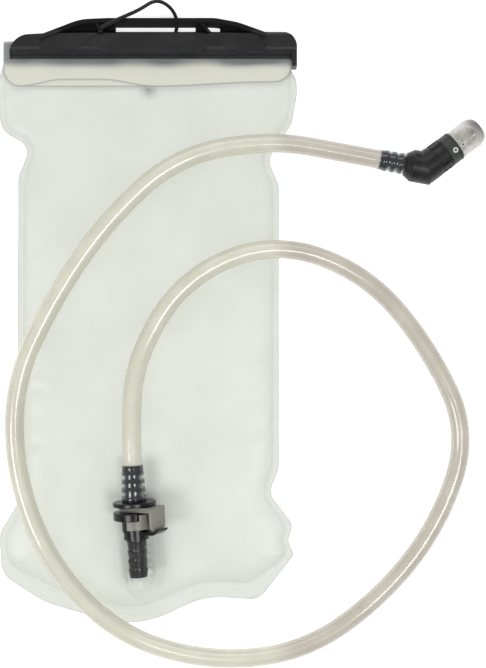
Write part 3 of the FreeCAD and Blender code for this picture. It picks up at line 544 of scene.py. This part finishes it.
FILM_CUT = [
    (-60.0, -161.0, 50), (-8.0, -176.5, 55), (33.0, -157.5, 45), (64.0, -159.5, 10), (84.4, -133.5, 4),
    (81.0, -125.5, 4), (83.8, -116.0, 6), (70.0, -98.0, 9), (SIDE, -84.0, 14), (SIDE, 81.0, 14),
    (69.3, 95.0, 9), (83.0, 116.0, 14), (HALF, 133.0, 20), (85.6, 140.0, 4), (NECK_SIDE, 146.0, 3),
    (NECK_SIDE, CUT_END, 9), (-NECK_SIDE, CUT_END, 9), (-NECK_SIDE, 150.0, 3), (-HALF, 140.0, 6),
    (-HALF, 130.0, 20), (-85.6, 112.0, 12), (-68.5, 103.0, 8), (-SIDE, 85.0, 12), (-SIDE, -103.0, 12),
    (-HALF, -121.0, 12), (-85.0, -145.0, 14),
]


def smooth_step(value, low, high):
    """0 below low and 1 above high, with a smooth rise between."""
    share = np.clip((np.asarray(value, float) - low) / (high - low), 0, 1)
    return share * share * (3 - 2 * share)


def film_outline(gape):
    """The cut of one film as close points, anticlockwise; gape pulls its free edge back on the left."""
    loop = np.array(rounded(FILM_CUT, 8))
    closed = np.vstack([loop, loop[:1]])
    reach = np.concatenate([[0], np.cumsum(np.linalg.norm(np.diff(closed, axis=0), axis=1))])
    at = [0.0]
    while at[-1] < reach[-1] - 0.4:
        height = np.interp(at[-1], reach, closed[:, 1])
        fine = FOLD_AT - 1 < height < FOLD_END + 1
        at.append(at[-1] + (FOLD_STEP if fine else EDGE_STEP))
    at = np.array(at[:-1])
    points = np.stack([np.interp(at, reach, closed[:, i]) for i in (0, 1)], axis=1)
    wave = np.array([noise.noise(Vector((x * 0.035, y * 0.035, 3.0))) for x, y in points])
    points[:, 0] += np.where(np.abs(points[:, 1]) < 130, wave * 0.5, 0)
    free = smooth_step(points[:, 1], CUT_END - 1.5, CUT_END - 0.5)
    bow = smooth_step(points[:, 0], *BOW_GROWS) * (1 - smooth_step(points[:, 0], *BOW_FADES))
    points[:, 1] -= gape * free * bow
    rise = RIGHT_RISE * smooth_step(points[:, 0], *CLIMB)
    points[:, 1] -= rise * smooth_step(points[:, 1], CUT_END - 16, CUT_END - 1)
    return points


def shrunk(outline, insets):
    """The outline drawn inwards in steps, smoothed at each, so that tight corners open out."""
    bands = [outline]
    for near, far in zip(insets, insets[1:]):
        band = bands[-1] + inward(bands[-1]) * (far - near)
        for _ in range(2):
            band = (np.roll(band, 1, axis=0) + 2 * band + np.roll(band, -1, axis=0)) / 4
        bands.append(band)
    return bands


def inward(points):
    """Smoothed inward directions round a closed outline."""
    ways = np.roll(points, -1, axis=0) - np.roll(points, 1, axis=0)
    ways /= np.linalg.norm(ways, axis=1)[:, None]
    normals = np.stack([-ways[:, 1], ways[:, 0]], axis=1)
    for _ in range(14):
        normals = (np.roll(normals, 1, axis=0) + 2 * normals + np.roll(normals, -1, axis=0)) / 4
        normals /= np.linalg.norm(normals, axis=1)[:, None]
    return normals


def section(reach, lift):
    """Where a film runs, seen from the side: y and z at a distance along its cut."""
    flat = np.minimum(reach, FOLD_AT)
    rise = STACK_BOTTOM * smooth_step(flat, NECK_FROM, NECK_TO)
    turn = np.pi * np.clip((reach - FOLD_AT) / FOLD_RUN, 0, 1)
    radius = FOLD_R - lift
    y = flat + radius * np.sin(turn)
    z = rise + lift + radius * (1 - np.cos(turn))
    back = np.maximum(reach - FOLD_END, 0)
    down = FOLD_AT - back
    outer = FLAP_LOW + (STACK_BOTTOM + 2 * FOLD_R - FLAP_LOW) * smooth_step(down, FLAP_END - 6, NECK_TO)
    on_flap = reach > FOLD_END
    return np.where(on_flap, down, y), np.where(on_flap, outer - lift, z)


def film(name, node, gape):
    """One film of the reservoir, cut, welded, folded and a little puffed."""
    outline = film_outline(gape)
    flat, depth, faces = film_layout(outline)
    points = shape_film(flat, depth, outline, node)
    obj = piece(name, points * MM, faces, FILM)
    paint_film(obj, flat, depth, points)
    thick = obj.modifiers.new("thickness", "SOLIDIFY")
    thick.thickness = FILM_FINE * MM
    thick.offset = 0
    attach(obj, "reservoir")
    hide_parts(node)
    ends = np.roll(outline, -1, axis=0)
    area = abs(np.sum(outline[:, 0] * ends[:, 1] - outline[:, 1] * ends[:, 0])) / 2


def film_layout(outline):
    """A flat film's points, how deep each lies within the edge, and its faces.

    Bands follow the edge as far as BAND, and triangles fill the rest.
    """
    count = len(outline)
    bands = shrunk(outline, INSETS)
    flat = np.concatenate(bands)
    depth = np.concatenate([np.minimum(distances(band, outline), inset)
                            for band, inset in zip(bands, INSETS)])
    faces = lattice(len(INSETS), count)
    edge = [tuple(point) for point in flat[-count:]]
    rows = list(np.arange(-165, FOLD_AT - 2, GRID))
    rows += list(np.arange(FOLD_AT - 2, FOLD_END + 2, FOLD_STEP))
    rows += list(np.arange(FOLD_END + 3, CUT_END - BAND - 1, 2.0))
    spots = [(x, y) for y in rows for x in np.arange(-72, 73, GRID)]
    border = np.array(edge)
    inner = [spot for spot in spots if inside(spot, border)]
    loop = list(range(count))
    found = geometry.delaunay_2d_cdt([Vector(p) for p in edge + inner],
                                     [(i, (i + 1) % count) for i in loop], [loop], 1, 1e-4)
    filled, triangles, origins = found[0], found[2], found[3]
    base = len(flat) - count
    where = {}
    extra = []
    for index, (point, source) in enumerate(zip(filled, origins)):
        rim = [s for s in source if s < count]
        if rim:
            where[index] = base + rim[0]
        else:
            where[index] = len(flat) + len(extra)
            extra.append(tuple(point))
    extra = np.array(extra)
    faces += [[where[i] for i in triangle] for triangle in triangles]
    return np.concatenate([flat, extra]), np.concatenate([depth, distances(extra, outline)]), faces


def weld_width(flat):
    """How far each point is into the bottom weld's run, and how wide the weld is there."""
    low = 1 - smooth_step(flat[:, 1], BOTTOM_FROM, BOTTOM_TO)
    return low, SIDE_WELD + (BOTTOM_WELD - SIDE_WELD) * low


def paint_film(obj, flat, depth, points):
    """The values that the film's finish reads, among them the painted shade and the dark edge lines of
    painted shade.
    """
    _, weld_to = weld_width(flat)
    below = 1 - smooth_step(flat[:, 1], 140, 146)
    give(obj, "weld", (1 - smooth_step(depth, weld_to - 0.6, weld_to + 0.6)) * below)
    # free edge, side lines and weld seam: thin dark lines of painted shade
    free = (1 - smooth_step(depth, 0.3, 0.95)) * smooth_step(flat[:, 1], CUT_END - 14, CUT_END - 9)
    side_line = (1 - smooth_step(depth, 0.2, 0.9)) * 0.35
    seam = np.exp(-((depth - weld_to - 0.6) / 0.5) ** 2) * below * 0.25
    give(obj, "rim", np.clip(free + side_line + seam, 0, 1))
    give(obj, "shade", film_shade(flat, points))
    give(obj, "cream", smooth_step(flat[:, 1], FOLD_AT - 6, FOLD_END) * 0.85)


def inside(spot, border):
    """Whether a spot lies within a closed outline and well clear of it."""
    x, y = spot
    ahead = np.roll(border, -1, axis=0)
    crosses = (border[:, 1] > y) != (ahead[:, 1] > y)
    rise = np.where(ahead[:, 1] == border[:, 1], 1e-9, ahead[:, 1] - border[:, 1])
    at = border[:, 0] + (y - border[:, 1]) / rise * (ahead[:, 0] - border[:, 0])
    return np.count_nonzero(crosses & (at > x)) % 2 == 1 and distances([spot], border)[0] > 0.9


def distances(points, outline):
    """How far each point lies from an outline."""
    return np.array([np.min(np.linalg.norm(outline - point, axis=1)) for point in points])


def shape_film(flat, depth, outline, node):
    """A film's points in the frame: its run round the fold, its pouch, welds and puckers."""
    lift = SHEET_LIFT[node.split("_")[0]]
    y, z = section(flat[:, 1], lift)
    if node == "front_film":
        nearest = np.array([np.argmin(np.sum((outline - point) ** 2, axis=1)) for point in flat])
        low, weld_to = weld_width(flat)
        body = 1 - smooth_step(flat[:, 1], NECK_FROM - 6, NECK_FROM + 22)
        beyond = np.maximum(depth - weld_to, 0)
        rise = POUCH * (1 - np.exp(-beyond / 6.0))
        pucker = np.array([noise.noise(Vector((k * 0.22, d * 0.03, 1.0))) for k, d in zip(nearest, depth)])
        swell = np.array([noise.fractal(Vector((px * 0.017, py * 0.012, 7.0)), 1.0, 2.0, 3)
                          for px, py in flat])
        rise += np.minimum(beyond / 3, 1) * (0.55 * pucker * np.exp(-beyond / 16) + 0.75 * swell)
        port = np.hypot(*((flat - np.array(PORT_SPOT)) / np.array(PORT_FLAT)).T)
        flatten = 1 - smooth_step(port, 0.75, 1.5)
        floor = PORT_FLOOR - FILM_FINE / 2 - 0.05 - lift
        rise = rise * (1 - flatten) + floor * flatten * np.minimum(beyond / 6, 1)
        ribs = bumps(depth, BOTTOM_RIBS, 0.55, 0.22)
        z = z + np.clip(rise, 0, POUCH + 0.9) * body + ribs * low
    free = smooth_step(flat[:, 1], CUT_END - 16, CUT_END)
    curl = np.array([noise.noise(Vector((px * 0.03, 2.0, 5.0))) for px, py in flat])
    z = z + free * (0.25 + 0.5 * curl)
    return np.stack([flat[:, 0], y, z], axis=1)


def film_shade(flat, points):
    """Painted shade on the films: a dark band where the bar and the shade under its lip show through the
    flap, a darker patch on the flap, and a blur where the tether's button shows through the neck.
    """
    on_flap = smooth_step(flat[:, 1], FOLD_AT + 2, FOLD_END + 1)
    patch = np.array([noise.noise(Vector((px * 0.045, 0.4, 0.0))) for px in flat[:, 0]])
    low = BAR_SHADE - 1.2 * patch
    # painted shade of the bar under the flap, fading below its lip
    band = smooth_step(points[:, 1], low, low + 5.2) * on_flap * (0.8 + 0.3 * patch)
    x, y = points[:, 0], points[:, 1]
    shade_patch = np.exp(-((x - SHADE_PATCH_SPOT[0]) / 13.0) ** 4 - ((y - SHADE_PATCH_SPOT[1]) / 2.0) ** 2) * on_flap
    spot = np.exp(-((x - BUTTON_SPOT[0]) / 3.8) ** 2 - ((y - BUTTON_SPOT[1]) / 2.0) ** 2)
    return np.clip(band + 0.5 * shade_patch + 0.8 * spot, 0, 0.85)


# ---- cords -------------------------------------------------------------------------------------
INSERT_RINGS = (1.5, 6.1, 10.7, 15.3)    # the insert's barbs along the tube, in millimetres
INSERT_GAPS = (4.2, 8.9, 13.6)           # clear wall between them
ELBOW_RINGS = (4.4, 8.8, 13.2)           # the spigot's barbs, from the tube's far end
ELBOW_GAPS = (2.4, 6.6, 11.0)
END_RUN = 27 * MM                        # part of each tube end with close rings
END_STEP, TUBE_STEP, TETHER_STEP = 0.4 * MM, 2.4 * MM, 0.8 * MM    # spacing of the rings
TUBE_SIDES, TETHER_SIDES = 40, 20


def bumps(at, crests, width, height):
    """How far a wall stands out over a row of barbs."""
    return height * np.exp(-((at[:, None] - np.array(crests)) / width) ** 2).sum(axis=1)


def drink_tube():
    """The drink tube, swollen over the insert's tail and over the elbow's barbs."""
    line = smooth_line(TUBE_ROUTE)
    at, line = stations(line, lambda s, whole: END_STEP if min(s, whole - s) < END_RUN else TUBE_STEP)
    at = at / MM
    near, far = at, at[-1] - at
    swell = 0.60 * (1 - smooth_step(near, 19, 23)) + 0.85 * (1 - smooth_step(near, 1, 20))
    swell += bumps(near, INSERT_RINGS, 1.2, 0.16)
    swell += 0.20 * (1 - smooth_step(far, 17.2, 20)) + bumps(far, ELBOW_RINGS, 1.4, 0.5)
    mouth = 0.6 * (1 - smooth_step(near, 0, 1.2)) + 0.9 * (1 - smooth_step(far, 0, 2.4))
    outer = TUBE_R / MM + swell - mouth
    inner = TUBE_BORE / MM + 0.85 * (1 - smooth_step(near, 19.6, 21))
    inner = inner + 0.85 * (1 - smooth_step(far, 16.2, 17.6))
    tube = hollow_tube("drink_hose", line, outer * MM, inner * MM, TUBE_SIDES, TUBE)
    clear = np.maximum(1 - smooth_step(near, 20.0, 21.0), 1 - smooth_step(far, 16.4, 17.4))
    gaps = bumps(near, INSERT_GAPS, 1.0, 1.3) + bumps(far, ELBOW_GAPS, 0.75, 0.8)
    # over_film: where the tube is painted paler, as painted light from the film behind it
    over_film = 1 - smooth_step(np.abs(line[:, 0]) / MM, SIDE - 6, SIDE + 8)
    clear, gaps, over_film = (np.tile(np.repeat(value, TUBE_SIDES), 2)
                               for value in (clear, gaps, over_film))
    centres = np.tile(np.repeat(line, TUBE_SIDES, axis=0), (2, 1))
    out = np.array([vertex.co for vertex in tube.data.vertices]) - centres
    sideways = 1 - smooth_step(np.abs(out[:, 2]) / np.linalg.norm(out, axis=1), 0.5, 0.85)
    give(tube, "clear", clear)
    give(tube, "contact", clear * (1 - np.clip(gaps, 0, 1) * sideways))
    give(tube, "pale", over_film)
    tube.visible_shadow = False
    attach(tube, "hose")
    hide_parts("drink_tube")
    on_it = ["hose_insert", "insert_seal", "swivel_barb", "swivel_seal", "elbow_body", "valve_core",
             "core_seal", "twist_sleeve", "marked_ring", "bite_shell"] + [obj.name for obj in marks()]


def tether():
    """The braided tether, from the bar's handle to the button under the neck."""
    line = smooth_line(TETHER_ROUTE)
    at, line = stations(line, lambda s, whole: TETHER_STEP)
    sides = TETHER_SIDES
    points = rings(line, np.full(len(line), TETHER_R), sides).reshape(-1, 3)
    faces = lattice(len(line), sides)
    faces.append(list(range(sides))[::-1])
    faces.append([(len(line) - 1) * sides + j for j in range(sides)])
    cord = piece("braided_tether", points, faces, BRAID)
    layer = cord.data.uv_layers.new(name="braid")
    for corner in cord.data.loops:
        ring, column = divmod(corner.vertex_index, sides)
        layer.data[corner.index].uv = (column / sides, at[ring] / (4 * TETHER_R))
    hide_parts("tether_cord")
    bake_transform(cord)


# ---- bite valve --------------------------------------------------------------------------------
MOUTH_PROFILE = [
    (21.9, 7.9), (22.1, 8.35), (27.0, 8.45), (31.2, 8.45), (32.0, 8.75), (33.0, 8.8),
    (33.8, 8.45), (35.4, 7.9), (37.0, 7.0), (38.0, 5.9), (38.5, 4.4), (38.6, 2.0),
    (38.6, 0.02), (35.2, 0.02), (34.6, 2.2), (32.0, 5.0), (27.0, 5.15), (21.9, 5.15),
]
MARKS = (("collar", 18.1, 8.68, 1.6), ("elbow", 23.4, 8.4, 1.3))    # body, place, height and radius
MARK_LEAN = math.radians(16)    # from straight up, towards the side


def mouthpiece():
    """The silicone mouthpiece, with painted shade at its tip, darker towards one side, and round the hollow
    behind it.
    """
    shell = lathe("bite_shell", MOUTH_PROFILE, ELBOW, MOUTH_WAY, SILICONE, "elbow")
    side = MOUTH_WAY.cross(Z_AXIS)
    painted_shade = []
    for vertex in shell.data.vertices:
        spot = (vertex.co - ELBOW) / MM
        along = spot.dot(MOUTH_WAY)
        out = (spot - MOUTH_WAY * along).length
        # painted shade: the tip, darker on one side, and the hollow behind it
        tip = smooth_step(along, 34.4, 36.4) * (0.82 - 0.12 * math.tanh(spot.dot(side) / 3))
        hollow = smooth_step(along, 27.5, 31.0) * (1 - smooth_step(out, 5.0, 6.0)) * (along < 36)
        painted_shade.append(float(np.clip(tip + 0.9 * hollow, 0, 1)))
    give(shell, "painted_shade", painted_shade)
    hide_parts("bite_mouthpiece")


def marks():
    """The white setting marks with dark middles of painted shade in place of their holes, on the marked ring
    and on the mouthpiece.
    """
    side = MOUTH_WAY.cross(Z_AXIS)
    way = Z_AXIS * math.cos(MARK_LEAN) + side * math.sin(MARK_LEAN)
    made = []
    for number, (body, along, height, radius) in enumerate(MARKS, 1):
        at = ELBOW + MOUTH_WAY * along * MM + way * height * MM
        eye = radius * 0.42
        ring = [(-0.6, radius), (0.05, radius), (0.16, radius - 0.15), (0.18, radius * 0.6),
                (0.05, eye), (-0.6, eye)]
        # a flush dark disc of painted shade stands in for each mark's hole
        hole_shade = [(-0.6, 0.01), (0.02, 0.01), (0.0, eye), (-0.6, eye)]
        made.append(lathe("mark_%d" % number, ring, at, way, WHITE_MARK, body, 40))
        made.append(lathe("mark_%d_middle" % number, hole_shade, at, way, SEAL, body, 24))
    return made


# ---- closure's grip dots -----------------------------------------------------------------------
PANEL_TOP = 14.8           # face of the grip panels
DOT_PITCH = 1.7
DOT_R = 0.48
DOT_SIDES = 12
DOT_SECTION = ((DOT_R, -0.1), (DOT_R, 0.04), (DOT_R * 0.75, 0.24), (DOT_R * 0.3, 0.34))    # radius, height
DOT_FIELDS = ((-59.0, -43.5, -1), (50.0, 66.0, 1))    # from, to, and the side the trimmed corner is on
DOT_ROWS, LOWEST_ROW = 6, 155.4
TRIM_FROM, TRIM_SLOPE = 162.4, 0.75                   # no dots below this slanted line


def grip_dots():
    """Rows of low round dots on the two grip panels of the bar."""
    points, faces = [], []
    turn = np.linspace(0, math.tau, DOT_SIDES, endpoint=False)
    for left, right, slope in DOT_FIELDS:
        for i in range(int((right - left) / DOT_PITCH) + 1):
            for j in range(DOT_ROWS):
                x, y = left + i * DOT_PITCH, LOWEST_ROW + j * DOT_PITCH
                edge = (right - x) if slope < 0 else (x - left)
                if y < TRIM_FROM - edge * TRIM_SLOPE:
                    continue
                base = len(points)
                for radius, height in DOT_SECTION:
                    points += [((x + radius * math.cos(a)) * MM, (y + radius * math.sin(a)) * MM,
                                (PANEL_TOP + height) * MM) for a in turn]
                faces += lattice(len(DOT_SECTION), DOT_SIDES, base)
                top = len(points) - DOT_SIDES
                faces.append([top + k for k in range(DOT_SIDES)])
                faces.append([base + k for k in range(DOT_SIDES)][::-1])
    dots = piece("grip_dots", points, faces, CHARCOAL, "closure")


# ---- carried-over pieces -----------------------------------------------------------------------
NODE_FINISH = {
    "tether_anchor": BLACK, "slide_closure": CHARCOAL, "port_spout": PORT, "coupling_body": BLACK,
    "latch_cover": GREY, "thumb_latch": GREY, "latch_spring": STEEL, "shutoff_poppet": BLACK,
    "poppet_seal": SEAL, "poppet_spring": STEEL, "hose_insert": BLACK, "insert_seal": SEAL,
    "swivel_barb": BLACK, "swivel_seal": SEAL, "elbow_body": DULL_BLACK, "valve_core": MILKY,
    "core_seal": SEAL, "twist_sleeve": DULL_BLACK, "marked_ring": RING,
}


def finish_nodes():
    """Gives each carried-over CAD piece its finish."""
    for name, finish in NODE_FINISH.items():
        node = frame["nodes"][name]
        node.data.materials.clear()
        node.data.materials.append(finish)


# ---- studio ------------------------------------------------------------------------------------
VIEW_CENTRE = Vector((54.8, -5.6, 0)) * MM
VIEW_HEIGHT = 0.65         # camera above the table
VIEW_SPAN = 387.4 * MM     # what the view's long side takes in on the table
SENSOR = 36.0
FLOOR_REACH, FLOOR_DROP = 3, 0.2 * MM    # half the floor's width, and how far it lies below the table plane
SKY = 0.5                                # strength of the white surroundings
LAMPS = (                                # name, place, size and power
    ("left_box", (-0.56, -0.28, 0.9), (0.34, 0.34), 3.9),
    ("right_box", (0.32, -0.28, 0.9), (0.30, 0.30), 3.0),
    ("broad", (0.1, 1.1, 0.9), (1.6, 0.6), 6.0),
)


def studio():
    """The camera, the floor, the lamps and the surroundings."""
    camera = bpy.data.cameras.new("camera")
    camera.sensor_width = SENSOR
    camera.lens = SENSOR * VIEW_HEIGHT / VIEW_SPAN
    camera.clip_start, camera.clip_end = 0.01, 20
    holder = bpy.data.objects.new("camera", camera)
    holder.location = VIEW_CENTRE + Z_AXIS * VIEW_HEIGHT
    bpy.context.scene.collection.objects.link(holder)
    bpy.context.scene.camera = holder
    corners = [(x * FLOOR_REACH, y * FLOOR_REACH, 0) for x, y in ((-1, -1), (1, -1), (1, 1), (-1, 1))]
    floor = piece("floor", corners, [[0, 1, 2, 3]], floor_finish())
    floor.location.z = -FLOOR_DROP
    for lamp in LAMPS:
        light(*lamp)
    world = bpy.data.worlds.new("studio")
    bpy.context.scene.world = world
    world.use_nodes = True
    sky = world.node_tree.nodes["Background"]
    sky.inputs["Color"].default_value = (1, 1, 1, 1)
    sky.inputs["Strength"].default_value = SKY
    bpy.context.scene.view_settings.view_transform = "Standard"


def light(name, place, size, power):
    """A soft rectangular light that looks at the middle of the view."""
    lamp = bpy.data.lights.new(name, "AREA")
    lamp.shape = "RECTANGLE"
    lamp.size, lamp.size_y = size
    lamp.energy = power
    holder = bpy.data.objects.new(name, lamp)
    holder.location = place
    holder.rotation_mode = "QUATERNION"
    holder.rotation_quaternion = (VIEW_CENTRE - Vector(place)).to_track_quat("-Z", "Y")
    bpy.context.scene.collection.objects.link(holder)


def main():
    """Builds the scene."""
    studio()
    finish_nodes()
    film("back_sheet", "back_film", LEFT_BOW)
    film("front_sheet", "front_film", 0.0)
    mouthpiece()
    grip_dots()
    drink_tube()
    tether()


main()
